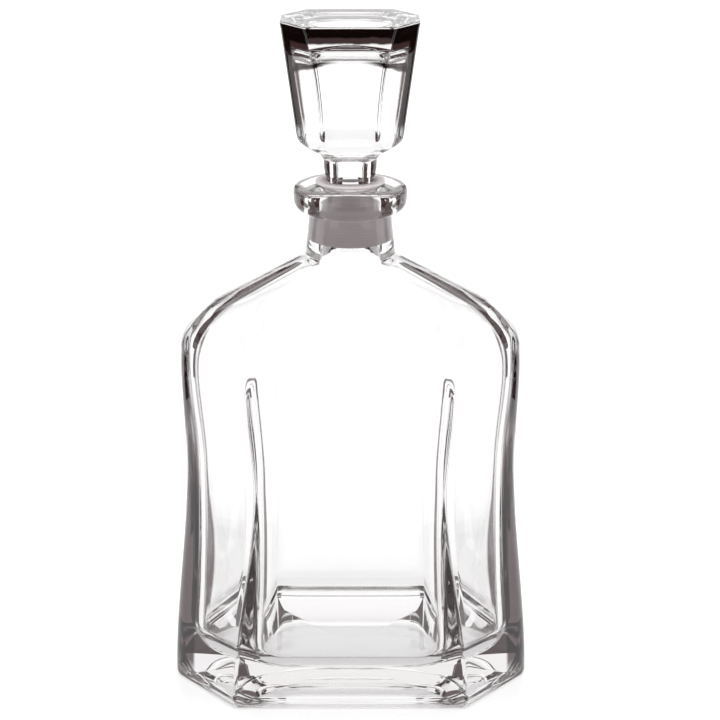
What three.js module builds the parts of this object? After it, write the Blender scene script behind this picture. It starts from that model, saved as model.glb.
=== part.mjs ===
// A crystal spirits decanter of about 0.7 litre, in three pieces: the glass body with its four
// hollow-cut corners, the hollow glass stopper cut the same way, and the ribbed plastic collar
// that grips the stopper's plug and seals it in the neck.
// Millimetres, +Z up, the broad faces along X; the origin is under the middle of the base.
import * as THREE from "three";
import { LoftGeometry } from "three/addons/geometries/LoftGeometry.js";

const { degToRad, lerp, smoothstep } = THREE.MathUtils;

// Outside of the body at three levels. A level's panels are the flat faces between the cut
// corners: the front panel lies along X and the side panel along Y.
const BASE = { height: 0, width: 126, depth: 85, frontPanel: 81, sidePanel: 28 };
const WAIST = { height: 78, width: 116.4, depth: 79, frontPanel: 66, sidePanel: 16 };
const SHOULDER = { height: 118, width: 118.6, depth: 80, frontPanel: 71, sidePanel: 20 };
const EDGE_ROUNDNESS = 0.12;

// The cut edges melt away between these two heights, measured from the shoulder level.
const EDGES_FADE_BELOW = 10;
const EDGES_GONE_ABOVE = 30;

// Shoulder: it rises from the walls to the root of the neck.
const SHOULDER_CORNER_RISE = 11.5;
const SHOULDER_SLOPE = 28.4;
const SHOULDER_SIDE_BLEND = 15;
const SHOULDER_FRONT_BLEND = 12;

// Foot: a flat rim round a shallow dome.
const FOOT_RIM_WIDTH = 9;
const FOOT_HOLLOW_DEPTH = 3.3;
const FOOT_EDGE_RADIUS = 1.4;

// Walls round the cavity at the same three levels: their thickness at the side and the front,
// and how much shorter each half panel is inside than outside.
const BASE_WALL = { side: 14.5, front: 13.5, frontPanel: 10.5, sidePanel: 7 };
const WAIST_WALL = { side: 8.4, front: 6.2, frontPanel: 4, sidePanel: 1 };
const SHOULDER_WALL = { side: 6.3, front: 4.8, frontPanel: 4.5, sidePanel: 2 };
const ROOF_THICKNESS = 4.5;

// Floor of the cavity: how far it is above the table, and its curve up into the walls.
const FLOOR_HEIGHT = 7;
const FLOOR_CURVE_HEIGHT = 11;
const FLOOR_SIDE_CURVE = 15.5;
const FLOOR_FRONT_CURVE = 21;
const CAVITY_ROUNDNESS = 0.6;

// Bore, neck and mouth flange.
const BORE_RADIUS = 10.6;
const NECK_WALL = 3.7;
const NECK_ROOT_SPREAD = 1.2;
const NECK_LENGTH = 15.5;
const NECK_BLEND = 3;
const FLANGE_REACH = 5.4;
const FLANGE_HEIGHT = 9.7;
const FLANGE_RIM_HEIGHT = 1.3;
const FLANGE_CROWN_WIDTH = 3.9;
const FLANGE_CROWN_HEIGHT = 2.6;
const MOUTH_EDGE_RADIUS = 0.8;

// Sealing collar: a sleeve with a lip on the mouth and soft ribs that meet the bore.
const COLLAR_LIP_REACH = 1.4;
const COLLAR_LIP_THICKNESS = 0.9;
const COLLAR_LENGTH = 21.6;
const COLLAR_WALL = 1.1;
const COLLAR_RIBS = 3;
const COLLAR_RIB_HEIGHT = 0.5;
const COLLAR_RIB_LENGTH = 1.6;
const COLLAR_RIB_PITCH = 5.2;
const CLEARANCE = 0.3;

// Stopper: plug, shank and cut head.
const PLUG_END_TAPER = 0.3;
const PLUG_END_EDGE = 0.7;
const SHANK_STEP = 0.2;
const SHANK_ROOT_SPREAD = 0.6;
const SHANK_LENGTH = 8.4;
const HEAD_LOW = { width: 35.6, depth: 27.6, frontPanel: 20, sidePanel: 12 };
const HEAD_TOP = { width: 47.2, depth: 39.2, frontPanel: 30.4, sidePanel: 15 };
const HEAD_HEIGHT = 47.3;
const HEAD_CORNER_RISE = 4.6;
const HEAD_BLEND = 5;
const HEAD_ROUNDNESS = 0.3;
const HEAD_EDGE_RADIUS = 0.7;

// Hollow of the stopper: a chamber in the head that opens through the plug.
const PLUG_WALL = 3.9;
const HOLLOW_WALL = 3.4;
const HOLLOW_FRONT_PANEL_CUT = 1.2;
const HOLLOW_SIDE_PANEL_CUT = 1.5;
const HOLLOW_FLOOR_RISE = 0.5;
const HOLLOW_FLOOR_CURVE = 7;
const HOLLOW_ROOF_THICKNESS = 8.5;
const HOLLOW_ROOF_CURVE = 5;
const HOLLOW_ROUNDNESS = 0.6;

// How finely the curves are stepped.
const CORNER_STEPS = 4;
const WALL_STEP = 11;
const CURVE_STEP = 2.6;
const FILLET_STEPS = 3;
const FLOOR_CURVE_STEPS = 7;
const FOOT_DOME_STEPS = 4;
const ROOF_CURVE_STEPS = 3;
const LATHE_STEPS = 48;

// A regular octagon's half side over its inner radius: eight rounded corners on it make a circle.
const CIRCLE_PANEL = Math.tan(Math.PI / 8);

// Sizes that follow from the ones above.
const NECK_RADIUS = BORE_RADIUS + NECK_WALL;
const NECK_ROOT_RADIUS = NECK_RADIUS + NECK_ROOT_SPREAD;
const FLANGE_RADIUS = NECK_RADIUS + FLANGE_REACH;
const FLANGE_TOP_RADIUS = FLANGE_RADIUS - FLANGE_CROWN_WIDTH;
const SHOULDER_CORNER_HEIGHT = SHOULDER.height + SHOULDER_CORNER_RISE;
const EDGES_FADE_FROM = SHOULDER.height - EDGES_FADE_BELOW;
const EDGES_GONE_AT = SHOULDER.height + EDGES_GONE_ABOVE;
const NECK_ROOT_HEIGHT =
  SHOULDER_CORNER_HEIGHT + (SHOULDER.width / 2 - NECK_ROOT_RADIUS) * Math.tan(degToRad(SHOULDER_SLOPE));
const FLANGE_BASE_HEIGHT = NECK_ROOT_HEIGHT + NECK_LENGTH;
const MOUTH_HEIGHT = FLANGE_BASE_HEIGHT + FLANGE_HEIGHT;
const LIP_BASE_HEIGHT = MOUTH_HEIGHT + CLEARANCE;
const LIP_TOP_HEIGHT = LIP_BASE_HEIGHT + COLLAR_LIP_THICKNESS;
const COLLAR_END_HEIGHT = LIP_TOP_HEIGHT - COLLAR_LENGTH;
const HEAD_BASE_HEIGHT = LIP_TOP_HEIGHT + SHANK_LENGTH;
const HEAD_TOP_HEIGHT = HEAD_BASE_HEIGHT + HEAD_HEIGHT;
const COLLAR_RADIUS = BORE_RADIUS - CLEARANCE - COLLAR_RIB_HEIGHT;
const COLLAR_LIP_RADIUS = BORE_RADIUS + COLLAR_LIP_REACH;
const PLUG_RADIUS = COLLAR_RADIUS - COLLAR_WALL - CLEARANCE;
const PLUG_BORE_RADIUS = PLUG_RADIUS - PLUG_WALL;
const SHANK_RADIUS = PLUG_RADIUS + SHANK_STEP;
const SHANK_ROOT_RADIUS = SHANK_RADIUS + SHANK_ROOT_SPREAD;

function smoothMin(a, b, blend) {
  const share = Math.max(blend - Math.abs(a - b), 0) / blend;
  return Math.min(a, b) - (share * share * blend) / 4;
}

function smoothMax(a, b, blend) {
  return -smoothMin(-a, -b, blend);
}

function halves(level) {
  return {
    halfWidth: level.width / 2,
    halfDepth: level.depth / 2,
    frontHalf: level.frontPanel / 2,
    sideHalf: level.sidePanel / 2,
  };
}

// The cavity's section at a level of the outside.
function within(level, wall) {
  return {
    halfWidth: level.width / 2 - wall.side,
    halfDepth: level.depth / 2 - wall.front,
    frontHalf: level.frontPanel / 2 - wall.frontPanel,
    sideHalf: level.sidePanel / 2 - wall.sidePanel,
  };
}

function mix(from, to, share) {
  const out = {};
  for (const key of Object.keys(from)) out[key] = lerp(from[key], to[key], share);
  return out;
}

// A ring that is a circle: its eight corners are fully rounded.
function circle(radius, height) {
  return {
    halfWidth: radius,
    halfDepth: radius,
    frontHalf: radius * CIRCLE_PANEL,
    sideHalf: radius * CIRCLE_PANEL,
    roundness: 1,
    height,
  };
}

// The ring moved inwards by one distance all round.
function inset(ring, distance) {
  const cutWidth = ring.halfWidth - ring.frontHalf;
  const cutDepth = ring.halfDepth - ring.sideHalf;
  const sideTurn = Math.atan2(cutWidth, cutDepth);
  return {
    ...ring,
    halfWidth: ring.halfWidth - distance,
    halfDepth: ring.halfDepth - distance,
    frontHalf: ring.frontHalf - distance * Math.tan((Math.PI / 2 - sideTurn) / 2),
    sideHalf: ring.sideHalf - distance * Math.tan(sideTurn / 2),
  };
}

// The ring made smaller about the middle.
function shrunk(ring, share) {
  return {
    ...ring,
    halfWidth: ring.halfWidth * share,
    halfDepth: ring.halfDepth * share,
    frontHalf: ring.frontHalf * share,
    sideHalf: ring.sideHalf * share,
  };
}

// A level ring of points: an oblong with cut corners, whose eight edges are rounded by a share
// of the largest radius that its panels leave room for.
function ringPoints({ halfWidth, halfDepth, frontHalf, sideHalf, roundness, height }) {
  const quarter = [
    [halfWidth, sideHalf],
    [frontHalf, halfDepth],
  ];
  const corners = [
    ...quarter,
    ...quarter.map(([x, y]) => [-x, y]).reverse(),
    ...quarter.map(([x, y]) => [-x, -y]),
    ...quarter.map(([x, y]) => [x, -y]).reverse(),
  ].map(([x, y]) => new THREE.Vector2(x, y));
  const sideTurn = Math.atan2(halfWidth - frontHalf, halfDepth - sideHalf);
  const frontTurn = Math.PI / 2 - sideTurn;
  const cutLength = Math.hypot(halfWidth - frontHalf, halfDepth - sideHalf);
  const sideReach = Math.tan(sideTurn / 2);
  const frontReach = Math.tan(frontTurn / 2);
  const cutRoom = cutLength / (sideReach + frontReach);
  const largest = Math.min(sideHalf / sideReach, frontHalf / frontReach, cutRoom);
  const radius = roundness * largest;
  const points = [];
  corners.forEach((corner, i) => {
    const before = corners[(i + 7) % 8].clone().sub(corner).normalize();
    const after = corners[(i + 1) % 8].clone().sub(corner).normalize();
    const turn = Math.PI - before.angleTo(after);
    const middle = before.clone().add(after).normalize();
    const centre = corner.clone().addScaledVector(middle, radius / Math.cos(turn / 2));
    const outwards = middle.clone().negate().angle();
    for (let step = 0; step < CORNER_STEPS; step += 1) {
      const angle = outwards + ((step + 0.5) / CORNER_STEPS - 0.5) * turn;
      const x = centre.x + radius * Math.cos(angle);
      const y = centre.y + radius * Math.sin(angle);
      points.push(new THREE.Vector3(x, y, height));
    }
  });
  return points;
}

// One closed skin: it starts at the middle of the first ring and ends at the middle of the last.
function loft(rings) {
  const sections = rings.map(ringPoints);
  const middle = (section) => section.map((point) => new THREE.Vector3(0, 0, point.z));
  return new LoftGeometry([middle(sections[0]), ...sections, middle(sections.at(-1))]);
}

function heightsBetween(low, high, step) {
  const count = Math.max(1, Math.round((high - low) / step));
  return Array.from({ length: count + 1 }, (unused, i) => lerp(low, high, i / count));
}

// The section of a wall that eases from one level to the next.
function levelAt(height, levels) {
  const above = levels.findIndex((level) => level.height >= height);
  if (above <= 0) return levels.at(above).section;
  const low = levels[above - 1];
  const high = levels[above];
  return mix(low.section, high.section, smoothstep(height, low.height, high.height));
}

// The ring where a wall meets a sloping shoulder that ends in a round neck. rise is the height
// from the shoulder's corner to the root of the neck, and up is how far the ring is above the
// corner. away says how round the ring already is.
function shoulderRing(wall, { rise, up, neckRadius, sideBlend, frontBlend, neckBlend, panelShare, away }) {
  const roof = (half) => lerp(half, neckRadius, up / rise);
  const half = (wallHalf, blend) =>
    smoothMax(smoothMin(roof(wallHalf), wallHalf, blend), neckRadius, neckBlend);
  const halfWidth = half(wall.halfWidth, sideBlend);
  const halfDepth = half(wall.halfDepth, frontBlend);
  return {
    halfWidth,
    halfDepth,
    frontHalf: halfWidth * lerp(wall.frontHalf / wall.halfWidth, CIRCLE_PANEL, panelShare),
    sideHalf: halfDepth * lerp(wall.sideHalf / wall.halfDepth, CIRCLE_PANEL, panelShare),
    roundness: away,
  };
}

function bodyOutside() {
  const rise = NECK_ROOT_HEIGHT - SHOULDER_CORNER_HEIGHT;
  const levels = [BASE, WAIST, SHOULDER].map((level) => ({ section: halves(level), height: level.height }));
  const fade = (height) => smoothstep(height, EDGES_FADE_FROM, EDGES_GONE_AT);
  const wallRing = (height) => ({
    ...levelAt(height, levels),
    roundness: lerp(EDGE_ROUNDNESS, 1, fade(height)),
    height,
  });
  const upNeck = (height) => smoothstep(height, NECK_ROOT_HEIGHT, FLANGE_BASE_HEIGHT);
  const roofRing = (height) => ({
    ...shoulderRing(halves(SHOULDER), {
      rise,
      up: height - SHOULDER_CORNER_HEIGHT,
      neckRadius: lerp(NECK_ROOT_RADIUS, NECK_RADIUS, upNeck(height)),
      sideBlend: SHOULDER_SIDE_BLEND,
      frontBlend: SHOULDER_FRONT_BLEND,
      neckBlend: NECK_BLEND,
      panelShare: smoothstep(height, SHOULDER.height, NECK_ROOT_HEIGHT),
      away: lerp(EDGE_ROUNDNESS, 1, fade(height)),
    }),
    height,
  });
  const foot = wallRing(BASE.height);
  const hollow = inset(foot, FOOT_RIM_WIDTH);
  const rings = [];
  for (let step = 1; step <= FOOT_DOME_STEPS; step += 1) {
    const share = step / FOOT_DOME_STEPS;
    rings.push({ ...shrunk(hollow, share), height: FOOT_HOLLOW_DEPTH * (1 - share * share) });
  }
  for (let step = 0; step <= FILLET_STEPS; step += 1) {
    const angle = (step / FILLET_STEPS) * (Math.PI / 2);
    const height = FOOT_EDGE_RADIUS * (1 - Math.cos(angle));
    rings.push({ ...inset(wallRing(height), FOOT_EDGE_RADIUS * (1 - Math.sin(angle))), height });
  }
  const wallHeights = heightsBetween(FOOT_EDGE_RADIUS, SHOULDER.height, WALL_STEP).slice(1);
  rings.push(...wallHeights.map(wallRing));
  const neckStart = NECK_ROOT_HEIGHT + NECK_BLEND;
  rings.push(...heightsBetween(SHOULDER.height, neckStart, CURVE_STEP).slice(1).map(roofRing));
  return rings;
}

function mouthFlange() {
  const rimTop = MOUTH_HEIGHT - FLANGE_CROWN_HEIGHT;
  const rimBase = rimTop - FLANGE_RIM_HEIGHT;
  const underside = new THREE.QuadraticBezierCurve(
    new THREE.Vector2(NECK_RADIUS, FLANGE_BASE_HEIGHT),
    new THREE.Vector2(FLANGE_RADIUS, FLANGE_BASE_HEIGHT),
    new THREE.Vector2(FLANGE_RADIUS, rimBase),
  );
  const crown = new THREE.QuadraticBezierCurve(
    new THREE.Vector2(FLANGE_RADIUS, rimTop),
    new THREE.Vector2(FLANGE_RADIUS, MOUTH_HEIGHT),
    new THREE.Vector2(FLANGE_TOP_RADIUS, MOUTH_HEIGHT),
  );
  const edge = new THREE.QuadraticBezierCurve(
    new THREE.Vector2(BORE_RADIUS + MOUTH_EDGE_RADIUS, MOUTH_HEIGHT),
    new THREE.Vector2(BORE_RADIUS, MOUTH_HEIGHT),
    new THREE.Vector2(BORE_RADIUS, MOUTH_HEIGHT - MOUTH_EDGE_RADIUS),
  );
  const outline = [...underside.getPoints(4), ...crown.getPoints(4), ...edge.getPoints(2)];
  return outline.map((point) => circle(point.x, point.y));
}

// The cavity's rings, from the bore down to the floor.
function bodyInside() {
  const slope = Math.tan(degToRad(SHOULDER_SLOPE));
  const roofDrop = ROOF_THICKNESS / Math.cos(degToRad(SHOULDER_SLOPE));
  const boreRoot = NECK_ROOT_HEIGHT + (NECK_ROOT_RADIUS - BORE_RADIUS) * slope - roofDrop;
  const low = within(BASE, BASE_WALL);
  const high = within(SHOULDER, SHOULDER_WALL);
  const cornerHeight = boreRoot - (high.halfWidth - BORE_RADIUS) * slope;
  const cavityLow = FLOOR_HEIGHT + FLOOR_CURVE_HEIGHT;
  const levels = [
    { section: low, height: cavityLow },
    { section: within(WAIST, WAIST_WALL), height: WAIST.height },
    { section: high, height: SHOULDER.height },
  ];
  const roundness = (height) =>
    lerp(CAVITY_ROUNDNESS, 1, smoothstep(height, EDGES_FADE_FROM, EDGES_GONE_AT));
  const roofRing = (height) => ({
    ...shoulderRing(levelAt(Math.min(height, SHOULDER.height), levels), {
      rise: boreRoot - cornerHeight,
      up: height - cornerHeight,
      neckRadius: BORE_RADIUS,
      sideBlend: SHOULDER_SIDE_BLEND,
      frontBlend: SHOULDER_FRONT_BLEND,
      neckBlend: NECK_BLEND,
      panelShare: smoothstep(height, SHOULDER.height, boreRoot),
      away: roundness(height),
    }),
    height,
  });
  const wallRing = (height) => ({ ...levelAt(height, levels), roundness: roundness(height), height });
  const curveStart = SHOULDER.height - SHOULDER_SIDE_BLEND * slope;
  const rings = heightsBetween(curveStart, boreRoot + NECK_BLEND, CURVE_STEP).reverse().map(roofRing);
  rings.push(...heightsBetween(cavityLow, curveStart, WALL_STEP).reverse().slice(1).map(wallRing));
  const halfWidth = low.halfWidth - FLOOR_SIDE_CURVE;
  const halfDepth = low.halfDepth - FLOOR_FRONT_CURVE;
  const roundCut = halfDepth * (1 - CIRCLE_PANEL);
  const floor = {
    halfWidth,
    halfDepth,
    frontHalf: halfWidth - roundCut,
    sideHalf: halfDepth - roundCut,
    roundness: 1,
  };
  for (let step = 1; step <= FLOOR_CURVE_STEPS; step += 1) {
    const angle = (step / FLOOR_CURVE_STEPS) * (Math.PI / 2);
    rings.push({
      ...mix({ ...low, roundness: CAVITY_ROUNDNESS }, floor, 1 - Math.cos(angle)),
      height: cavityLow - FLOOR_CURVE_HEIGHT * Math.sin(angle),
    });
  }
  return rings;
}

function decanterBody() {
  const outside = [...bodyOutside(), ...mouthFlange()];
  return loft([...outside, ...bodyInside()]);
}

// The head's flat-faced section at a height. Its front panel flares towards the top.
function headSection(height) {
  const cornerHeight = HEAD_BASE_HEIGHT + HEAD_CORNER_RISE;
  const share = (height - cornerHeight) / (HEAD_TOP_HEIGHT - cornerHeight);
  const flare = Math.max(share, 0) ** 2;
  return {
    ...mix(halves(HEAD_LOW), halves(HEAD_TOP), share),
    frontHalf: lerp(HEAD_LOW.frontPanel, HEAD_TOP.frontPanel, flare) / 2,
  };
}

// The stopper's outside, from the end of the plug up to its top face.
function stopperOutside() {
  const cornerHeight = HEAD_BASE_HEIGHT + HEAD_CORNER_RISE;
  const curveTop = cornerHeight + HEAD_BLEND;
  const wallTop = HEAD_TOP_HEIGHT - HEAD_EDGE_RADIUS;
  const headRing = (height) => ({
    ...shoulderRing(headSection(height), {
      rise: HEAD_CORNER_RISE,
      up: cornerHeight - height,
      neckRadius: SHANK_ROOT_RADIUS,
      sideBlend: HEAD_BLEND,
      frontBlend: HEAD_BLEND,
      neckBlend: NECK_BLEND,
      panelShare: 1 - smoothstep(height, HEAD_BASE_HEIGHT, curveTop),
      away: lerp(1, HEAD_ROUNDNESS, smoothstep(height, HEAD_BASE_HEIGHT, curveTop)),
    }),
    height,
  });
  return [
    circle(PLUG_RADIUS - PLUG_END_TAPER - PLUG_END_EDGE, COLLAR_END_HEIGHT),
    circle(PLUG_RADIUS - PLUG_END_TAPER, COLLAR_END_HEIGHT + PLUG_END_EDGE),
    circle(PLUG_RADIUS, LIP_TOP_HEIGHT),
    circle(PLUG_RADIUS, LIP_TOP_HEIGHT + CLEARANCE),
    circle(SHANK_RADIUS, LIP_TOP_HEIGHT + CLEARANCE + SHANK_STEP),
    ...heightsBetween(HEAD_BASE_HEIGHT - NECK_BLEND, curveTop, CURVE_STEP / 2).map(headRing),
    ...heightsBetween(curveTop, wallTop, WALL_STEP).slice(1).map(headRing),
    { ...inset(headRing(HEAD_TOP_HEIGHT), HEAD_EDGE_RADIUS), height: HEAD_TOP_HEIGHT },
  ];
}

// The stopper's hollow, from the middle of its roof down to its mouth in the plug.
function stopperHollow() {
  const floorHeight = HEAD_BASE_HEIGHT + HOLLOW_FLOOR_RISE;
  const wallBase = floorHeight + HOLLOW_FLOOR_CURVE;
  const roofHeight = HEAD_TOP_HEIGHT - HOLLOW_ROOF_THICKNESS;
  const wallTop = roofHeight - HOLLOW_ROOF_CURVE;
  const wallRing = (height) => {
    const section = headSection(height);
    return {
      halfWidth: section.halfWidth - HOLLOW_WALL,
      halfDepth: section.halfDepth - HOLLOW_WALL,
      frontHalf: section.frontHalf - HOLLOW_FRONT_PANEL_CUT,
      sideHalf: section.sideHalf - HOLLOW_SIDE_PANEL_CUT,
      roundness: HOLLOW_ROUNDNESS,
      height,
    };
  };
  const rings = [];
  for (let step = 0; step <= ROOF_CURVE_STEPS; step += 1) {
    const angle = (step / ROOF_CURVE_STEPS) * (Math.PI / 2);
    const reach = HOLLOW_ROOF_CURVE * (1 - Math.sin(angle));
    const height = wallTop + HOLLOW_ROOF_CURVE * Math.cos(angle);
    rings.push({ ...inset(wallRing(wallTop), reach), height });
  }
  rings.push(...heightsBetween(wallBase, wallTop, WALL_STEP).reverse().slice(1).map(wallRing));
  const neck = circle(PLUG_BORE_RADIUS, floorHeight);
  for (let step = 1; step <= FLOOR_CURVE_STEPS; step += 1) {
    const angle = (step / FLOOR_CURVE_STEPS) * (Math.PI / 2);
    rings.push({
      ...mix(wallRing(wallBase), neck, 1 - Math.cos(angle)),
      height: wallBase - HOLLOW_FLOOR_CURVE * Math.sin(angle),
    });
  }
  rings.push(circle(PLUG_BORE_RADIUS, COLLAR_END_HEIGHT));
  return rings;
}

// One skin round the whole stopper: it closes only on the middles of the roof and the top face.
function stopper() {
  return loft([...stopperHollow(), ...stopperOutside()]);
}

function sealingCollar() {
  const inner = PLUG_RADIUS + CLEARANCE;
  const profile = [
    [inner, COLLAR_END_HEIGHT],
    [COLLAR_RADIUS, COLLAR_END_HEIGHT],
  ];
  const firstRib = COLLAR_END_HEIGHT + COLLAR_RIB_PITCH / 2;
  for (let rib = 0; rib < COLLAR_RIBS; rib += 1) {
    const low = firstRib + rib * COLLAR_RIB_PITCH;
    profile.push(
      [COLLAR_RADIUS, low],
      [COLLAR_RADIUS + COLLAR_RIB_HEIGHT, low + COLLAR_RIB_LENGTH / 2],
      [COLLAR_RADIUS, low + COLLAR_RIB_LENGTH],
    );
  }
  profile.push(
    [COLLAR_RADIUS, LIP_BASE_HEIGHT],
    [COLLAR_LIP_RADIUS, LIP_BASE_HEIGHT],
    [COLLAR_LIP_RADIUS, LIP_TOP_HEIGHT],
    [inner, LIP_TOP_HEIGHT],
    [inner, COLLAR_END_HEIGHT],
  );
  const outline = profile.map(([radius, height]) => new THREE.Vector2(radius, height));
  return new THREE.LatheGeometry(outline, LATHE_STEPS).rotateX(Math.PI / 2);
}

const clearGlass = { color: 0xf2f4f4, roughness: 0.03, metalness: 0 };
const frostedPlastic = { color: 0xb4abac, roughness: 0.5, metalness: 0 };

function piece(name, geometry, finish) {
  const mesh = new THREE.Mesh(geometry, new THREE.MeshStandardMaterial(finish));
  mesh.name = name;
  return mesh;
}

const decanter = new THREE.Group();
decanter.name = "decanter";
decanter.add(piece("decanter_body", decanterBody(), clearGlass));
decanter.add(piece("stopper", stopper(), clearGlass));
decanter.add(piece("sealing_collar", sealingCollar(), frostedPlastic));

export default decanter;
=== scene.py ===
# %% [markdown]
# # A crystal decanter
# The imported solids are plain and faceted, because they are there for size, collision and
# motion. Clear glass shows every facet and every fold of its surface, so the bottle, the
# stopper and the sealing collar are each made again here as a fine, smooth, closed skin that
# fills the same box. Only closed skins with their faces outward bend light as solid glass does.

import math

import bmesh
import bpy
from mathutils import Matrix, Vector


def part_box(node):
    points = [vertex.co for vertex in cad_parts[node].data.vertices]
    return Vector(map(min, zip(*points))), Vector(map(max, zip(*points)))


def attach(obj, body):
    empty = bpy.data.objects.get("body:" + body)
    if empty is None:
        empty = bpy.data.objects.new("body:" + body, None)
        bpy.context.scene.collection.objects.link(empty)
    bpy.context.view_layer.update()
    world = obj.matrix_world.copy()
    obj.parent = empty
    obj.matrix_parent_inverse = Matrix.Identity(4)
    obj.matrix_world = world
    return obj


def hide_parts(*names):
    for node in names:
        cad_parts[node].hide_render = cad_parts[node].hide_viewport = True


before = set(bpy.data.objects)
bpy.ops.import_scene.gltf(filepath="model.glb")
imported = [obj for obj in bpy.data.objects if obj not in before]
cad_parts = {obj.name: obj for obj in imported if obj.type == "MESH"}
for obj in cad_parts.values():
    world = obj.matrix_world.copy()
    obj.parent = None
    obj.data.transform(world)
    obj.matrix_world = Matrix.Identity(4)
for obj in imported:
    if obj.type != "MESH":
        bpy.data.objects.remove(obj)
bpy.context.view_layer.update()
MM = 0.001
BODY_LOW, BODY_HIGH = (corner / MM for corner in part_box("decanter_body"))
STOPPER_LOW, STOPPER_HIGH = (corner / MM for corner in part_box("stopper"))
COLLAR_LOW, COLLAR_HIGH = (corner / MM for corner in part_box("sealing_collar"))
print("bottle", BODY_HIGH, "stopper", STOPPER_LOW, STOPPER_HIGH, "collar", COLLAR_LOW, COLLAR_HIGH)

# %% [markdown]
# ## Camera
# The decanter is seen from the front and from a little above, so that the stopper's top, the
# mouth and the foot each show as an oval. A long lens from almost a metre away keeps its
# upright lines upright, as is usual for glassware in a studio, and needs no camera shift.

# %% Camera
CAMERA_DISTANCE = 780
CAMERA_HEIGHT = 360
CAMERA_SIDE = 3.34
LOOK_HEIGHT = 114.5
LENS = 116.1

camera = bpy.data.objects.new("camera", bpy.data.cameras.new("camera"))
camera.data.lens = LENS
camera.data.sensor_width = 36
camera.data.clip_start = 0.01
camera.location = Vector((CAMERA_SIDE, -CAMERA_DISTANCE, CAMERA_HEIGHT)) * MM
look_at = Vector((CAMERA_SIDE, 0, LOOK_HEIGHT)) * MM
camera.rotation_euler = (look_at - camera.location).to_track_quat("-Z", "Y").to_euler()
bpy.context.collection.objects.link(camera)
bpy.context.scene.camera = camera
print("camera at", camera.location, "lens", LENS)

# %% [markdown]
# ## One level of a cut glass shape
# The bottle is an oblong with its four corners cut off flat, and its stopper is too. A level
# is such an outline at one height: its half width and half depth, how far the front and the
# side panel reach from the middle, and how round its corners are. A moulded neck is round, so
# a level also says how far it has melted into an oval. Boolean cuts on a box would leave
# facets and slivers where they meet the round neck; outlines that change slowly from level
# to level leave none.

# %% Blending two sizes


def lerp(a, b, share):
    return a + (b - a) * share


def smoothstep(value, low, high):
    share = min(max((value - low) / (high - low), 0), 1)
    return share * share * (3 - 2 * share)


def smooth_min(a, b, blend):
    share = max(blend - abs(a - b), 0) / blend
    return min(a, b) - share * share * blend / 4


def smooth_max(a, b, blend):
    return -smooth_min(-a, -b, blend)


print("halfway from 2 to 4 is", lerp(2, 4, smoothstep(5, 0, 10)))

# %% A level and what is done to it


def level(half_width, half_depth, front_half, side_half, height, edge=2.0, soft=2.0, melt=0.0):
    """One outline. edge rounds the front panel's corners, and soft the side panel's."""
    return dict(w=half_width, d=half_depth, f=front_half, s=side_half, z=height,
                edge=edge, soft=soft, melt=melt)


def disc(radius, height):
    return level(radius, radius, radius / 2, radius / 2, height, radius / 8, radius / 8, 1.0)


def mixed(a, b, share):
    return {key: lerp(a[key], b[key], share) for key in a}


def inset(ring, distance):
    """The same outline, moved in by one distance all the way round."""
    turn = math.atan2(ring["w"] - ring["f"], ring["d"] - ring["s"])
    return {
        **ring,
        "w": ring["w"] - distance,
        "d": ring["d"] - distance,
        "f": ring["f"] - distance * math.tan((math.pi / 2 - turn) / 2),
        "s": ring["s"] - distance * math.tan(turn / 2),
    }


def shrunk(ring, share):
    """The same outline drawn smaller about the middle, for the way to a closed end."""
    small = {key: ring[key] * share for key in ("w", "d", "f", "s", "edge", "soft")}
    return {**ring, **small}


print("a disc is", disc(8, 0))

# %% The points of a level
CORNER_STEPS = 6
PANEL_STEPS = {"cut": 8, "front": 12, "side": 5}
PANELS_AROUND = ["cut", "front", "cut", "side", "cut", "front", "cut", "side"]
CORNERS = len(PANELS_AROUND)
EIGHTH = math.tau / CORNERS


def corner_places(ring):
    """The eight corners, anticlockwise from the right side panel's rear corner."""
    w, d, f, s = ring["w"], ring["d"], ring["f"], ring["s"]
    right, left = [(w, s), (f, d)], [(-f, d), (-w, s)]
    return [Vector(c) for c in right + left + [(-x, -y) for x, y in right + left]]


def corner_arc(before, corner, after, radius):
    """A round corner between two straight panels."""
    back, on = (before - corner).normalized(), (after - corner).normalized()
    turn = math.pi - back.angle(on)
    inward = (back + on).normalized()
    centre = corner + inward * (radius / math.cos(turn / 2))
    outward = math.atan2(-inward.y, -inward.x)
    angles = [outward + (k / CORNER_STEPS - 0.5) * turn for k in range(CORNER_STEPS + 1)]
    return [centre + radius * Vector((math.cos(a), math.sin(a))) for a in angles]


def ring_points(ring):
    """Points round one level, each mixed with its own point on an oval by ring["melt"]."""
    corners = corner_places(ring)
    arcs = []
    for i, corner in enumerate(corners):
        radius = ring["soft"] if i % 4 in (0, 3) else ring["edge"]
        arcs.append(corner_arc(corners[i - 1], corner, corners[(i + 1) % CORNERS], radius))
    points, angles = [], []
    for i, arc in enumerate(arcs):
        first = (i + 0.25) * EIGHTH
        last = first + EIGHTH / 2
        points += arc
        angles += [lerp(first, last, k / CORNER_STEPS) for k in range(CORNER_STEPS + 1)]
        steps = PANEL_STEPS[PANELS_AROUND[i]]
        for k in range(1, steps):
            share = (1 - math.cos(math.pi * k / steps)) / 2
            points.append(arc[-1].lerp(arcs[(i + 1) % CORNERS][0], share))
            angles.append(lerp(last, last + EIGHTH / 2, share))
    return [
        (lerp(p.x, ring["w"] * math.cos(a), ring["melt"]),
         lerp(p.y, ring["d"] * math.sin(a), ring["melt"]))
        for p, a in zip(points, angles)
    ]


RING_COUNT = len(ring_points(disc(1, 0)))
print("points round a level:", RING_COUNT)

# %% [markdown]
# ## Growing a skin
# A glass blower's bubble has one surface, outside and inside, that passes over the mouth. It
# is grown here in the same way: a circle is extruded from level to level, up the outside, over
# the lip and down the inside, and each new row settles on its own outline. The first and the
# last row are then merged to a point, which closes the foot and the floor.

# %% The two steps of growing


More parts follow.
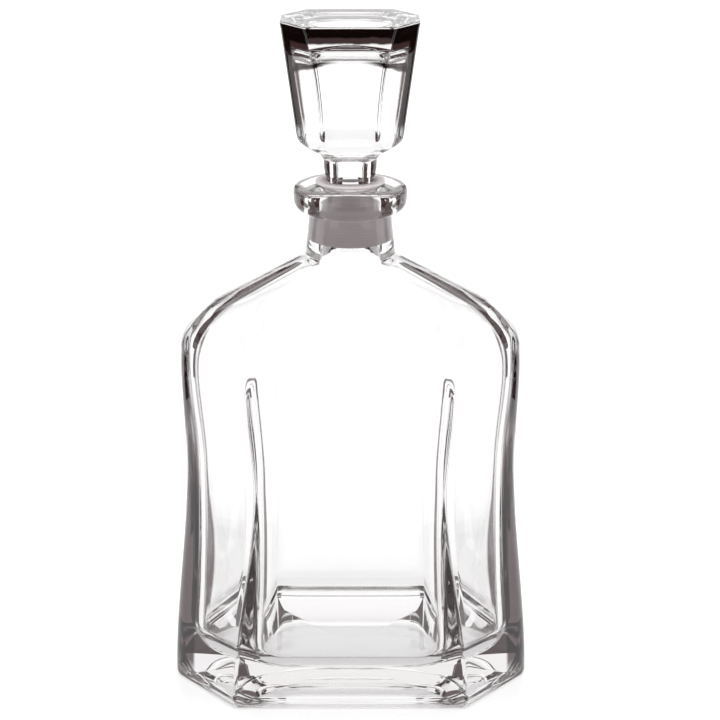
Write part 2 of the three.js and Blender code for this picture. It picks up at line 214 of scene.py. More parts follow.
def settle(row, ring):
    for vert, (x, y) in zip(row, ring_points(ring)):
        vert.co = Vector((x, y, ring["z"])) * MM


def extrude_row(bm, row, edges):
    """Extrudes a row in place, and hands the new verts back in the old row's order."""
    places = {tuple(vert.co): i for i, vert in enumerate(row)}
    grown = bmesh.ops.extrude_edge_only(bm, edges=edges)["geom"]
    verts = [item for item in grown if isinstance(item, bmesh.types.BMVert)]
    fresh = set(verts)
    edges = [item for item in grown if isinstance(item, bmesh.types.BMEdge)]
    edges = [edge for edge in edges if fresh.issuperset(edge.verts)]
    return sorted(verts, key=lambda vert: places[tuple(vert.co)]), edges


print("a row is extruded in place and then settled")

# %% A closed skin


def make_piece(name, bm):
    """A finished mesh becomes an object at the origin, with its faces outward and smooth."""
    bmesh.ops.recalc_face_normals(bm, faces=bm.faces)
    mesh = bpy.data.meshes.new(name)
    bm.to_mesh(mesh)
    bm.free()
    mesh.shade_smooth()
    piece = bpy.data.objects.new(name, mesh)
    bpy.context.collection.objects.link(piece)
    print(name, len(mesh.polygons), "faces")
    return piece


def grow_skin(name, rings):
    bm = bmesh.new()
    row = bmesh.ops.create_circle(bm, cap_ends=False, radius=1, segments=RING_COUNT)["verts"]
    edges = list(bm.edges)
    settle(row, rings[0])
    ends = [(list(row), list(edges), rings[0])]
    for ring in rings[1:]:
        row, edges = extrude_row(bm, row, edges)
        settle(row, ring)
    ends.append((row, edges, rings[-1]))
    for end_row, end_edges, ring in ends:
        fan = extrude_row(bm, end_row, end_edges)[0]
        bmesh.ops.pointmerge(bm, verts=fan, merge_co=Vector((0, 0, ring["z"])) * MM)
    return make_piece(name, bm)


def heights(low, high, step):
    """Even heights from low to high, about one step apart, in whichever direction."""
    count = max(1, round(abs(high - low) / step))
    return [lerp(low, high, i / count) for i in range(count + 1)]


def turned(start, corner, end, steps):
    """A curve that leaves start towards corner and reaches end, for a rounded edge."""
    shares = [i / steps for i in range(steps + 1)]
    return [
        [lerp(lerp(a, b, t), lerp(b, c, t), t) for a, b, c in zip(start, corner, end)]
        for t in shares
    ]


print("a rounded edge:", turned((0, 0), (1, 0), (1, 1), 2))

# %% [markdown]
# ## The bottle's sizes
# Its walls lean in from a wide foot to a waist, and out again to the shoulders, by a few
# millimetres only, and that is what gives the pressed glass its lively edges; the dark shade
# along its side edges is painted in the base colour. Three levels say it all, with a smooth run
# between them. The cavity has three levels of its own, because its wall is thick at the cut
# corners and thin at the panels. Overall sizes come from the frame.

# %% Outside sizes
BASE = level(BODY_HIGH.x, BODY_HIGH.y, 40.5, 14, 0)
WAIST = level(58.2, 39.5, 33, 8, 78)
SHOULDER = level(59.3, 40, 35.5, 10, 118)
EDGE_RADIUS = 2.2
SOFT_RADIUS = 12
SHOULDER_CORNER = 129.5
SHOULDER_SLOPE = math.radians(28.4)
SIDE_BLEND = 15
FRONT_BLEND = 12
FOOT_EDGE = 1.4
FOOT_RIM = 9
FOOT_HOLLOW = 3
FOOT_LIFT = 0.3
MELT_FROM = 112
STRAIGHT_STEP = 3
TURN_STEP = 0.8
print("foot", BASE["w"], "by", BASE["d"], "waist", WAIST["w"], "shoulder", SHOULDER["w"])

# %% Neck and mouth sizes
BORE_RADIUS = 10.6
NECK_RADIUS = 14.3
NECK_ROOT_RADIUS = 15.5
NECK_BLEND = 3
NECK_ROOT = SHOULDER_CORNER + (SHOULDER["w"] - NECK_ROOT_RADIUS) * math.tan(SHOULDER_SLOPE)
NECK_FROM = NECK_ROOT + 5
MOUTH = BODY_HIGH.z
FLANGE_BASE = MOUTH - 9.7
FLANGE_RADIUS = 19.7
FLANGE_RIM = 1.3
FLANGE_CROWN = 2.6
FLANGE_TOP_RADIUS = 15.8
MOUTH_EDGE = 0.8
print("neck from", NECK_ROOT, "to", FLANGE_BASE, "mouth at", MOUTH)

# %% Cavity sizes
FLOOR = 7
FLOOR_CURVE = 11
ROOF_THICKNESS = 4.5
CAVITY_EDGE = 13
CAVITY_LOW = level(48.5, 29, 30, 7, FLOOR + FLOOR_CURVE, CAVITY_EDGE, CAVITY_EDGE)
CAVITY_WAIST = level(49.8, 33.3, 29, 7, WAIST["z"], CAVITY_EDGE, CAVITY_EDGE)
CAVITY_SHOULDER = level(53, 35.2, 31, 8, SHOULDER["z"], CAVITY_EDGE, CAVITY_EDGE)
CAVITY_FLOOR = level(33, 8, 28, 3.5, FLOOR, edge=6, soft=6, melt=0.6)
ROOF_DROP = ROOF_THICKNESS / math.cos(SHOULDER_SLOPE)
print("glass under the cavity", FLOOR, "and over it", ROOF_THICKNESS)

# %% [markdown]
# ## Walls and shoulders
# A wall's outline at any height lies between the two levels nearest to it. The shoulder is a
# roof that slopes from the walls to the neck: at each height the outline is the smaller of
# wall and roof, and never smaller than the neck, with both turns smoothed over so the glass
# flows from one into the next as it does when it leaves the mould.

# %% Wall and shoulder levels


def wall_at(height, levels):
    height_in = min(max(height, levels[0]["z"]), levels[-1]["z"])
    low, high = levels[:2] if height_in < levels[1]["z"] else levels[1:]
    share = smoothstep(height_in, low["z"], high["z"])
    return {**mixed(low, high, share), "z": height, "melt": smoothstep(height, MELT_FROM, NECK_ROOT)}


def shoulder_at(wall, corner, root, neck_radius):
    """The roof's outline at the wall's height, from the walls' corner up to the neck's root."""
    up = (wall["z"] - corner) / (root - corner)

    def half(wall_half, blend):
        roof = lerp(wall_half, neck_radius, up)
        return smooth_max(smooth_min(roof, wall_half, blend), neck_radius, NECK_BLEND)

    w, d = half(wall["w"], SIDE_BLEND), half(wall["d"], FRONT_BLEND)
    sharp = min(1, d / 30)
    return {
        **wall,
        "w": w,
        "d": d,
        "f": w * wall["f"] / wall["w"],
        "s": d * wall["s"] / wall["d"],
        "edge": wall["edge"] * sharp,
        "soft": wall["soft"] * sharp,
    }


def neck_at(height):
    return lerp(NECK_ROOT_RADIUS, NECK_RADIUS, smoothstep(height, NECK_ROOT, FLANGE_BASE))


OUTSIDE = [{**ring, "edge": EDGE_RADIUS, "soft": SOFT_RADIUS} for ring in (BASE, WAIST, SHOULDER)]
print("waist level", wall_at(WAIST["z"], OUTSIDE))

# %% [markdown]
# ## Foot, walls, neck and flange
# The foot stands on a flat rim, and inside the rim the glass is hollowed out a little, so the
# bottle can't rock and its floor doesn't get scratched. Above it come the walls, the shoulders,
# the neck, and the rounded flange that a hand holds when pouring. Levels are close together
# where the surface turns and far apart where it is straight.

# %% Levels of the outside


def foot_rings():
    foot = wall_at(0, OUTSIDE)
    hollow = inset(foot, FOOT_RIM)
    rings = []
    for share in heights(1 / 12, 1, 1 / 12):
        dome = FOOT_HOLLOW * (1 - share * share)
        rings.append({**shrunk(hollow, share), "z": FOOT_LIFT + dome, "edge": 2 * share, "soft": 2 * share})
    rings += [{**inset(hollow, -0.4), "z": 0}, {**inset(foot, 5), "z": 0}]
    for inward, rise in turned((FOOT_EDGE, 0), (0, 0), (0, FOOT_EDGE), 5):
        rings.append({**inset(foot, inward), "z": rise})
    return rings


def wall_rings():
    turn = SHOULDER["z"] - 8
    rings = [wall_at(z, OUTSIDE) for z in heights(FOOT_EDGE, turn, STRAIGHT_STEP)[1:]]
    for z in heights(turn, NECK_FROM, TURN_STEP)[1:]:
        rings.append(shoulder_at(wall_at(z, OUTSIDE), SHOULDER_CORNER, NECK_ROOT, neck_at(z)))
    return rings


def flange_rings():
    rim = MOUTH - FLANGE_CROWN
    outline = [(neck_at(z), z) for z in heights(NECK_FROM, FLANGE_BASE - 0.6, 1.5)[1:]]
    under = (FLANGE_RADIUS, FLANGE_BASE)
    outline += turned((NECK_RADIUS + 0.3, FLANGE_BASE), under, (FLANGE_RADIUS, rim - FLANGE_RIM), 10)
    outline += turned((FLANGE_RADIUS, rim), (FLANGE_RADIUS, MOUTH), (FLANGE_TOP_RADIUS, MOUTH), 9)
    bore = (BORE_RADIUS, MOUTH)
    outline += turned((BORE_RADIUS + MOUTH_EDGE, MOUTH), bore, (BORE_RADIUS, MOUTH - MOUTH_EDGE), 4)
    return [disc(radius, z) for radius, z in outline]


print("outside levels:", len(foot_rings()), len(wall_rings()), len(flange_rings()))

# %% Levels of the cavity


def cavity_rings():
    slope = math.tan(SHOULDER_SLOPE)
    root = NECK_ROOT + (NECK_ROOT_RADIUS - BORE_RADIUS) * slope - ROOF_DROP
    corner = root - (CAVITY_SHOULDER["w"] - BORE_RADIUS) * slope
    start = SHOULDER["z"] - SIDE_BLEND * slope
    inside = [CAVITY_LOW, CAVITY_WAIST, CAVITY_SHOULDER]
    rings = []
    for z in heights(root + NECK_BLEND + 2, start, 0.9):
        rings.append(shoulder_at(wall_at(z, inside), corner, root, BORE_RADIUS))
    rings += [wall_at(z, inside) for z in heights(start, CAVITY_LOW["z"], STRAIGHT_STEP)[1:]]
    low = rings[-1]
    for angle in heights(0, math.pi / 2, math.pi / 28)[1:]:
        deep = CAVITY_LOW["z"] - FLOOR_CURVE * math.sin(angle)
        rings.append({**mixed(low, CAVITY_FLOOR, 1 - math.cos(angle)), "z": deep})
    rings += [shrunk(CAVITY_FLOOR, share) for share in (0.9, 0.7, 0.4, 0.1)]
    return rings


bottle_rings = foot_rings() + wall_rings() + flange_rings() + cavity_rings()
decanter_glass = grow_skin("decanter_glass", bottle_rings)
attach(decanter_glass, "decanter")
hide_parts("decanter_body")
print("bottle size in mm:", decanter_glass.dimensions / MM)

# %% [markdown]
# ## The stopper's sizes
# The stopper is a smaller copy of the bottle turned upside down: a head with its corners cut
# off that widens to a flat top. It is blown hollow, and thick glass is left over the hollow. The
# deep band under its top is a painted shade in the base colour, laid over the dark flags that
# this thick glass picks up. Head, hollow, shank and plug share one skin, as they share one piece
# of glass.

# %% Stopper sizes
HEAD_TOP = STOPPER_HIGH.z
HEAD_BASE = HEAD_TOP - 47.3
HEAD_RISE = 4.6
HEAD_BLEND = 5
HEAD_EDGE = 0.7
HEAD_LOW = level(17.8, 13.8, 10, 6, HEAD_BASE + HEAD_RISE, edge=1.5, soft=4)
HEAD_HIGH = level(23.6, 19.6, 15.2, 7.5, HEAD_TOP, edge=1.5, soft=4)
PLUG_END = STOPPER_LOW.z
PLUG_RADIUS = 8.4
SHANK_RADIUS = 8.6
SHANK_ROOT = 9.2
SHANK_FROM = COLLAR_HIGH.z + 0.3
print("head from", HEAD_BASE, "to", HEAD_TOP, "plug end", PLUG_END)

# %% Hollow sizes
HOLLOW_WALL = 3.4
HOLLOW_BORE = 4.5
HOLLOW_FLOOR = HEAD_BASE + 0.5
HOLLOW_CURVE = 7
HOLLOW_ROOF = HEAD_TOP - 8.5
HOLLOW_TURN = 5
HOLLOW_DOME = 1.2
HOLLOW_EDGE = 3.0
HOLLOW_ROOF_EDGE = 2.5
HOLLOW_FRONT_CUT = 1.2
HOLLOW_SIDE_CUT = 1.5
print("hollow from", HOLLOW_FLOOR, "to", HOLLOW_ROOF)

# %% Levels of the head and of its hollow


def head_wall(z):
    share = (z - HEAD_LOW["z"]) / (HEAD_TOP - HEAD_LOW["z"])
    front = lerp(HEAD_LOW["f"], HEAD_HIGH["f"], max(share, 0) ** 2)
    return {**mixed(HEAD_LOW, HEAD_HIGH, share), "f": front, "z": z}


def head_ring(z):
    """The head's outline, drawn in to the round shank under it."""
    wall = head_wall(z)
    up = (HEAD_LOW["z"] - z) / HEAD_RISE

    def half(wall_half):
        roof = lerp(wall_half, SHANK_ROOT, up)
        return smooth_max(smooth_min(roof, wall_half, HEAD_BLEND), SHANK_ROOT, NECK_BLEND)

    w, d = half(wall["w"]), half(wall["d"])
    melt = 1 - smoothstep(z, HEAD_BASE, HEAD_LOW["z"] + HEAD_BLEND)
    front, side = w * wall["f"] / wall["w"], d * wall["s"] / wall["d"]
    return {**wall, "w": w, "d": d, "f": front, "s": side, "melt": melt}


def hollow_ring(z):
    """The hollow's outline: the head's own, one wall in, with softer corners."""
    wall = head_wall(z)
    return {**wall, "w": wall["w"] - HOLLOW_WALL, "d": wall["d"] - HOLLOW_WALL,
            "f": wall["f"] - HOLLOW_FRONT_CUT, "s": wall["s"] - HOLLOW_SIDE_CUT,
            "edge": HOLLOW_EDGE, "soft": HOLLOW_EDGE}


print("top outline", head_ring(HEAD_TOP))

# %% Levels of the stopper's outside


def stopper_outside():
    top = inset(head_ring(HEAD_TOP), HEAD_EDGE)
    rings = [inset(top, distance) for distance in (6, 3, 0.8)]
    for inward, drop in turned((HEAD_EDGE, 0), (0, 0), (0, HEAD_EDGE), 4):
        rings.append({**inset(head_ring(HEAD_TOP), inward), "z": HEAD_TOP - drop})
    curve_top = HEAD_LOW["z"] + HEAD_BLEND
    start = HEAD_BASE - NECK_BLEND
    step = SHANK_FROM + SHANK_RADIUS - PLUG_RADIUS
    rings += [head_ring(z) for z in heights(HEAD_TOP - HEAD_EDGE, curve_top, 2)[1:]]
    rings += [head_ring(z) for z in heights(curve_top, start, 0.5)[1:]]
    for z in heights(start - 1, step, 1):
        rings.append(disc(lerp(SHANK_RADIUS, SHANK_ROOT, smoothstep(z, step, start)), z))
    rings += [disc(PLUG_RADIUS, z) for z in heights(SHANK_FROM, PLUG_END + 2, 2)]
    end = PLUG_RADIUS - 0.3
    edge = turned((end, PLUG_END + 0.7), (end, PLUG_END), (end - 0.7, PLUG_END), 4)
    rings += [disc(radius, z) for radius, z in edge]
    return rings


print("stopper outside levels:", len(stopper_outside()))

# %% Levels of the stopper's hollow


def stopper_hollow():
    mouth = (HOLLOW_BORE, PLUG_END)
    outline = turned((HOLLOW_BORE + 0.6, PLUG_END), mouth, (HOLLOW_BORE, PLUG_END + 0.6), 3)
    outline += [(HOLLOW_BORE, z) for z in heights(PLUG_END + 1, HOLLOW_FLOOR - 2.5, 2)]
    rim = (HOLLOW_BORE, HOLLOW_FLOOR)
    outline += turned((HOLLOW_BORE, HOLLOW_FLOOR - 2), rim, (HOLLOW_BORE + 1.5, HOLLOW_FLOOR), 6)
    rings = [disc(radius, z) for radius, z in outline]
    floor, low = disc(HOLLOW_BORE + 2.5, HOLLOW_FLOOR), hollow_ring(HOLLOW_FLOOR + HOLLOW_CURVE)
    for angle in heights(0, math.pi / 2, math.pi / 24)[1:]:
        rise = HOLLOW_FLOOR + HOLLOW_CURVE * (1 - math.cos(angle))
        rings.append({**mixed(floor, low, math.sin(angle)), "z": rise})
    rings += [hollow_ring(z) for z in heights(low["z"], HOLLOW_ROOF - HOLLOW_TURN, 1.5)[1:]]
    high = rings[-1]
    for angle in heights(0, math.pi / 2, math.pi / 16)[1:]:
        rise = HOLLOW_ROOF - HOLLOW_TURN * (1 - math.sin(angle))
        drawn_in = inset(high, HOLLOW_TURN * (1 - math.cos(angle)))
        rings.append({**drawn_in, "z": rise, "edge": HOLLOW_ROOF_EDGE, "soft": HOLLOW_ROOF_EDGE})
    roof = rings[-1]
    for share in heights(6 / 7, 1 / 7, 1 / 7):
        rings.append({**shrunk(roof, share), "z": HOLLOW_ROOF + HOLLOW_DOME * (1 - share * share)})
    return rings


glass_stopper = grow_skin("glass_stopper", stopper_outside() + stopper_hollow())
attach(glass_stopper, "stopper")
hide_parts("stopper")
print("stopper size in mm:", glass_stopper.dimensions / MM)

# %% [markdown]
# ## The sealing collar
# A soft plastic sleeve sits on the plug and wets the bore's glass where it seals, so its outside
# touches the bore there and hangs a little free inside the flange. It is perfectly round, so
# its outline is drawn once, as a closed loop of edges, and spun round the upright axis.

# %% Collar
SEAL_RADIUS = BORE_RADIUS + 0.05
SLACK_RADIUS = 9.8
SLEEVE_BORE = PLUG_RADIUS + 0.3
LIP_RADIUS = 12
LIP = 0.9
SPIN_STEPS = 96


def collar_outline():
    low, high = COLLAR_LOW.z, COLLAR_HIGH.z
    grip = FLANGE_BASE + 0.6
    outline = turned((SEAL_RADIUS - 0.4, low), (SEAL_RADIUS, low), (SEAL_RADIUS, low + 0.4), 3)
    outline += [(SEAL_RADIUS, z) for z in heights(low + 0.6, grip, 2)]
    outline += [(SLACK_RADIUS, z) for z in heights(grip + 0.6, high - LIP - 0.5, 2)]
    under = (LIP_RADIUS, high - LIP)
    outline += turned((LIP_RADIUS - 0.4, high - LIP), under, (LIP_RADIUS, high - 0.5), 3)
    outline += turned((LIP_RADIUS, high - 0.4), (LIP_RADIUS, high), (LIP_RADIUS - 0.4, high), 3)
    return outline + [(SLEEVE_BORE, high), (SLEEVE_BORE, low)]


bm = bmesh.new()
loop = [bm.verts.new(Vector((radius, 0, z)) * MM) for radius, z in collar_outline()]
edges = [bm.edges.new(pair) for pair in zip(loop, loop[1:] + loop[:1])]
bmesh.ops.spin(bm, geom=loop + edges, axis=(0, 0, 1), angle=math.tau, steps=SPIN_STEPS, use_merge=True)
sealing_sleeve = make_piece("sealing_sleeve", bm)
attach(sealing_sleeve, "collar")
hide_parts("sealing_collar")
print("collar size in mm:", sealing_sleeve.dimensions / MM)

# %% [markdown]
# ## Shader maths in Python
# A pattern on a surface is arithmetic on coordinates. Wiring Math nodes by hand hides the
# formula, so one small class wraps a socket and turns each operator into its node, and one
# method makes every other node from its type, its settings and its inputs.

# %% A socket that can be calculated with


class Wire:
    """A node's output. Adding, subtracting and multiplying it adds Math nodes."""

    def __init__(self, tree, socket):
        self.tree = tree
        self.socket = socket

    def node(self, kind, settings, inputs, output=0):
        """Makes a node, sets it up, and fills its sockets with values or wires."""
        made = self.tree.nodes.new(kind)
        for name, value in settings.items():
            setattr(made, name, value)
        for name, value in inputs.items():
            if isinstance(value, Wire):
                self.tree.links.new(value.socket, made.inputs[name])
            else:
                made.inputs[name].default_value = value
        return Wire(self.tree, made.outputs[output])

    def maths(self, operation, *values):
        return self.node("ShaderNodeMath", {"operation": operation}, dict(enumerate(values)))

    def __add__(self, other):
        return self.maths("ADD", self, other)

    def __radd__(self, other):
        return self.maths("ADD", other, self)

    def __sub__(self, other):
        return self.maths("SUBTRACT", self, other)

    def __rsub__(self, other):
        return self.maths("SUBTRACT", other, self)

    def __mul__(self, other):
        return self.maths("MULTIPLY", self, other)

    def __rmul__(self, other):
        return self.maths("MULTIPLY", other, self)

    def __abs__(self):
        return self.maths("ABSOLUTE", self)

    def ramp(self, low, high, start=0.0, end=1.0):
        """Goes smoothly from start to end as this value goes from low to high."""
        return self.node(
            "ShaderNodeMapRange",
            {"interpolation_type": "SMOOTHSTEP"},
            {"Value": self, "From Min": low, "From Max": high, "To Min": start, "To Max": end},
        )

    def tint(self, pale, deep):
        """Mixes two colours, or a wire's colour and one more, by this value."""
        ends = [end if isinstance(end, Wire) else (*end, 1) for end in (pale, deep)]
        inputs = {"Factor": self, 6: ends[0], 7: ends[1]}
        return self.node("ShaderNodeMix", {"data_type": "RGBA"}, inputs, output=2)


print("a wire adds, subtracts, multiplies, ramps and tints")

# %% Starting a material


def new_material(name, **values):
    """A material, its shader with uniform values set, and its place in millimetres as wires."""
    material = bpy.data.materials.new(name)
    material.use_nodes = True
    tree = material.node_tree
    shader = tree.nodes["Principled BSDF"]
    for socket, value in values.items():
        shader.inputs[socket.replace("_", " ")].default_value = value
    place = Wire(tree, tree.nodes.new("ShaderNodeTexCoord").outputs["Object"])
    in_mm = place.node("ShaderNodeVectorMath", {"operation": "SCALE"}, {0: place, "Scale": 1 / MM})
    split = in_mm.node("ShaderNodeSeparateXYZ", {}, {"Vector": in_mm})
    axes = [Wire(tree, split.socket.node.outputs[axis]) for axis in "XYZ"]
    return material, shader, in_mm, axes


def feed(shader, socket, wire):
    wire.tree.links.new(wire.socket, shader.inputs[socket])


def absorb(material, color, density):
    """Colours the glass through its depth, so that thick glass is darker than thin."""
    tree = material.node_tree
    volume = tree.nodes.new("ShaderNodeVolumeAbsorption")
    volume.inputs["Color"].default_value = (*color, 1)
    volume.inputs["Density"].default_value = density
    output = next(node for node in tree.nodes if node.type == "OUTPUT_MATERIAL")
    tree.links.new(volume.outputs["Volume"], output.inputs["Volume"])


print("materials start from object coordinates in millimetres")

# %% [markdown]
# ## Crystal of the bottle
# Crystal is clear and takes a fire polish, so it is Principled with full transmission, an index
# of 1.52 and no roughness, plus a faint grey in its depth. The mauve-brown along both side
# edges is not in the glass of the real bottle: it is dark surroundings, seen through a long way
# of glass. Cards round the bottle could not give it here, because light through the edges comes
# from the same stretch of floor as light through the clear middle. So it is a tint in the base
# colour that stands for them, laid by height and by nearness to the side. It stays in place
# when the view changes, and anyone who wants plain clear glass links no tint. The foot rim is
# scuffed by trays, in fine noise.

# %% Bottle crystal
CLEAR = (1, 1, 1)
# Painted shade: the dark mauve-brown laid along both side edges of the bottle.
PAINTED_EDGE_SHADE = (0.016, 0.0085, 0.0095)
SHADE_AT_FOOT = 7.4
SHADE_AT_SHOULDER = 3.4
GLASS_IOR = 1.52
GLASS = dict(Roughness=0.0, IOR=GLASS_IOR, Transmission_Weight=1.0)
DEPTH_GREY = (0.5, 0.44, 0.44)
DEPTH_DENSITY = 5
SHADE_HEIGHTS = (20, 112)
SHADE_SOFTNESS = (-0.3, 0.9)
SHADE_WAVE = 0.6
SIDE_PANEL_CLEAR = (6, 9)
FOOT_CLEAR = (1, 9)

body_crystal, shader, in_mm, (x, y, z) = new_material("body_crystal", **GLASS)
to_waist = z.ramp(0, WAIST["z"], BASE["w"], WAIST["w"])
half_width = to_waist + z.ramp(WAIST["z"], SHOULDER["z"], 0, SHOULDER["w"] - WAIST["w"])
# Noise that makes the inner edge of the painted shade wavy.
wobble_noise = z.node("ShaderNodeTexNoise", {}, {"Vector": in_mm, "Scale": 0.09, "Detail": 3.0})
depth = z.ramp(*SHADE_HEIGHTS, SHADE_AT_FOOT, SHADE_AT_SHOULDER) + (wobble_noise - 0.5) * SHADE_WAVE
edge = (abs(x) - half_width + depth).ramp(*SHADE_SOFTNESS)
off_panel = abs(y).ramp(*SIDE_PANEL_CLEAR)
below_neck = z.ramp(SHOULDER["z"], SHOULDER_CORNER + 4, 1, 0)
above_foot = z.ramp(*FOOT_CLEAR)
# The base colour is painted shade along both side edges, standing for dark surroundings seen through the
# glass; elsewhere it stays clear.
feed(shader, "Base Color", (edge * off_panel * below_neck * above_foot).tint(CLEAR, PAINTED_EDGE_SHADE))
scuffs = z.node("ShaderNodeTexNoise", {}, {"Vector": in_mm, "Scale": 1.2, "Detail": 6.0})
feed(shader, "Roughness", z.ramp(0, 0.6, 0.25, 0) * scuffs)
absorb(body_crystal, DEPTH_GREY, DEPTH_DENSITY)
decanter_glass.data.materials.append(body_crystal)
print("bottle crystal shaded over", SHADE_AT_FOOT, "mm at the foot")

# %% [markdown]
# ## Crystal of the stopper
# It is the same glass, and its shades are stand-ins too. The solid block over the hollow picks
# up the darkest surroundings, as a band right under the polished top, with a fainter arch
# where the hollow's roof begins, and the tapered sides carry a thin line each.

# %% Stopper crystal
# Painted shades of the head: a near-black band under the top, a thin line down each tapered side, and a
# fainter arch where the hollow's roof begins.
PAINTED_BAND_SHADE = (0.003, 0.0012, 0.0012)
BAND = 5.9
PAINTED_SIDE_SHADE = (0.01, 0.004, 0.004)
SIDE_SHADE = 3.1
PAINTED_ARCH_SHADE = (0.02, 0.012, 0.012)
ARCH = 10.4
ARCH_DIP = 3.0
TOP_CLEAR = (HEAD_TOP - 0.8, HEAD_TOP - 0.3)
BAND_WAVE = 1.5
SIDE_SOFTNESS = (-0.3, 0.6)
HEAD_PANEL_CLEAR = (4.5, 6.5)
ARCH_MIDDLE_CLEAR = (3, 12)

stopper_crystal, shader, in_mm, (x, y, z) = new_material("stopper_crystal", **GLASS)
taper = (HEAD_HIGH["w"] - HEAD_LOW["w"]) / (HEAD_TOP - HEAD_LOW["z"])
half_width = (z - HEAD_LOW["z"]) * taper + HEAD_LOW["w"]
# Noise that waves the painted band and arch, and varies the roughness of the plug.
wobble_noise = z.node("ShaderNodeTexNoise", {}, {"Vector": in_mm, "Scale": 0.2, "Detail": 3.0})
under_top = z.ramp(*TOP_CLEAR, 1, 0)
wavy = z + (wobble_noise - 0.5) * BAND_WAVE
band = wavy.ramp(HEAD_TOP - BAND - 0.5, HEAD_TOP - BAND + 0.3) * under_top
near_side = (abs(x) - half_width + SIDE_SHADE).ramp(*SIDE_SOFTNESS)
above_curve = z.ramp(HEAD_LOW["z"], HEAD_LOW["z"] + 8)
sides = near_side * above_curve * under_top * abs(y).ramp(*HEAD_PANEL_CLEAR)
arch_top = wavy + x * x * (ARCH_DIP / HEAD_HIGH["f"] ** 2)
arch_line = HEAD_TOP - ARCH
arch_low = arch_top.ramp(arch_line - 2.4, arch_line - 1.4)
arch = arch_low * arch_top.ramp(arch_line - 0.6, arch_line + 0.4, 1, 0)
arch_shade = arch * abs(x).ramp(*ARCH_MIDDLE_CLEAR)
shaded = arch_shade.tint(CLEAR, PAINTED_ARCH_SHADE)
shaded = sides.tint(shaded, PAINTED_SIDE_SHADE)
# The base colour is painted shade: the band, the side lines and the arch are dark, and the rest of the head
# is clear.
feed(shader, "Base Color", band.tint(shaded, PAINTED_BAND_SHADE))
feed(shader, "Roughness", z.ramp(PLUG_END, SHANK_FROM, 0.12, 0) * wobble_noise)
absorb(stopper_crystal, DEPTH_GREY, DEPTH_DENSITY)
glass_stopper.data.materials.append(stopper_crystal)
print("stopper band", BAND, "mm deep")

# %% [markdown]
# ## Frosted plastic of the collar
# The collar is moulded in soft translucent polyethylene. Its grey-mauve is a little cloudy, and
# fine turned lines run round it. Light that comes in through the glass behind it makes it glow
# slightly, which a faint emission of its own colour stands for. Rings come from a sine of the
# height, which costs nothing next to real grooves.

# %% Collar plastic
RING_PITCH = 1.1
plastic, shader, in_mm, (_, _, z) = new_material("frosted_plastic", Emission_Strength=0.17, IOR=1.5)
cloud = z.node("ShaderNodeTexNoise", {}, {"Vector": in_mm, "Scale": 0.25, "Detail": 4.0})
rings = z.maths("SINE", z * (math.tau / RING_PITCH)) * 0.5 + 0.5
collar_colour = (cloud * 0.7 + rings * 0.3).tint((0.66, 0.6, 0.61), (0.78, 0.72, 0.73))
feed(shader, "Base Color", collar_colour)
feed(shader, "Emission Color", collar_colour)
feed(shader, "Roughness", cloud * 0.2 + 0.4)
bump = z.node("ShaderNodeBump", {}, {"Strength": 0.25, "Distance": 0.05 * MM, "Height": rings})
feed(shader, "Normal", bump)
sealing_sleeve.data.materials.append(plastic)
print("rings every", RING_PITCH, "mm")

# %% [markdown]
# ## Light table
# Glass stands on and against plain white here, because it shows only what is behind it. A
# pale floor that glows a little runs out to the white surround, so no horizon shows, and the
# floor darkens softly under the foot. Lamps would put hard highlights on the glass, so the
# surround is the only light besides the floor.

# %% Floor
FLOOR_REACH = 8000
FLOOR_GAP = 0.2
bm = bmesh.new()
bmesh.ops.create_grid(bm, x_segments=1, y_segments=1, size=FLOOR_REACH * MM)
bmesh.ops.translate(bm, verts=bm.verts, vec=Vector((0, 0, -FLOOR_GAP * MM)))
light_table = make_piece("light_table", bm)
table_white, shader, in_mm, _ = new_material("table_white", Roughness=0.3, Emission_Strength=0.62)
grain = in_mm.node("ShaderNodeTexNoise", {}, {"Vector": in_mm, "Scale": 0.02, "Detail": 2.0})
feed(shader, "Base Color", grain.tint((0.49, 0.49, 0.49), (0.53, 0.53, 0.53)))
feed(shader, "Emission Color", grain.tint((0.98, 0.98, 0.98), (1, 1, 1)))
light_table.data.materials.append(table_white)

# %% Surround and view
SURROUND_LIGHT = 1.12
GLASS_BOUNCES = 24
scene = bpy.context.scene
scene.view_settings.view_transform = "Standard"
scene.cycles.max_bounces = GLASS_BOUNCES
scene.cycles.transmission_bounces = GLASS_BOUNCES
scene.cycles.glossy_bounces = 12
scene.cycles.use_denoising = True
surround = bpy.data.worlds.new("white_surround")
scene.world = surround
surround.use_nodes = True
surround.node_tree.nodes["Background"].inputs["Color"].default_value = (1, 1, 1, 1)
surround.node_tree.nodes["Background"].inputs["Strength"].default_value = SURROUND_LIGHT
print("surround", SURROUND_LIGHT)

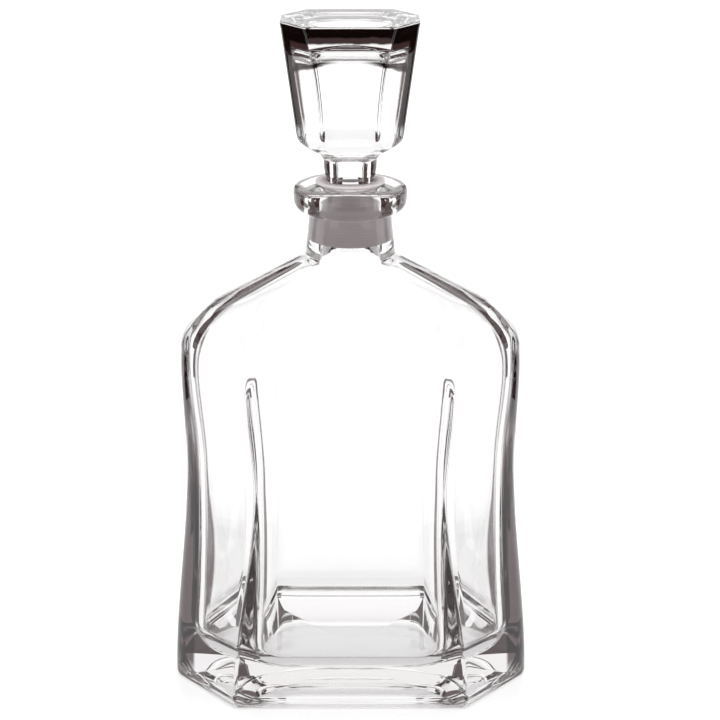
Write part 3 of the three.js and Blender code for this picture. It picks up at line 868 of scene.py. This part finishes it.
# %% [markdown]
# ## Dark flags
# Clear glass on white would vanish. In a studio, dark cards stand round it, just out
# of sight, and the edges of the glass pick them up as thin dark lines. The cards here are bent
# round the decanter, hidden from the camera, and leave gaps through which each of the usual
# views sees clean white.

# %% Flags
FLAG_COLOUR = (0.045, 0.02, 0.02)
FLAG_AWAY = 1500
CARD_AWAY = 900
LOW_FLAG_TOP = 450


def bent_sheet(name, azimuths, radii, levels):
    """A card from one azimuth to another, 0 being straight behind, leaning from radius to radius."""
    bm = bmesh.new()
    bmesh.ops.create_grid(bm, x_segments=24, y_segments=1, size=1)
    for vert in bm.verts:
        across, up = (vert.co.x + 1) / 2, (vert.co.y + 1) / 2
        azimuth, radius = math.radians(lerp(*azimuths, across)), lerp(*radii, up)
        place = (radius * math.sin(azimuth), radius * math.cos(azimuth), lerp(*levels, up))
        vert.co = Vector(place) * MM
    sheet = make_piece(name, bm)
    sheet.data.materials.append(flag_cloth)
    sheet.visible_camera = False
    sheet.visible_diffuse = False
    sheet.visible_shadow = False


CLOTH = dict(Specular_IOR_Level=0.0, Emission_Strength=1.0)
flag_cloth, shader, in_mm, _ = new_material("flag_cloth", **CLOTH)
nap = in_mm.node("ShaderNodeTexNoise", {}, {"Vector": in_mm, "Scale": 0.01, "Detail": 2.0})
feed(shader, "Base Color", nap.tint((0, 0, 0), (0.002, 0.001, 0.001)))
feed(shader, "Emission Color", nap.tint(FLAG_COLOUR, (0.05, 0.026, 0.026)))
for side in (-1, 1):
    bent_sheet("high_flag", (36 * side, 180 * side), (FLAG_AWAY, 500), (LOW_FLAG_TOP, 1700))
    bent_sheet("low_flag", (36 * side, 76 * side), (FLAG_AWAY, FLAG_AWAY), (0, LOW_FLAG_TOP))
    bent_sheet("low_flag", (104 * side, 180 * side), (FLAG_AWAY, FLAG_AWAY), (0, LOW_FLAG_TOP))
    for low, high in ((59, 76), (104, 121), (149, 180)):
        bent_sheet("floor_mat", (low * side, high * side), (300, FLAG_AWAY), (1, 1))
    bent_sheet("side_card", (14 * side, 38 * side), (CARD_AWAY, CARD_AWAY), (200, 500))
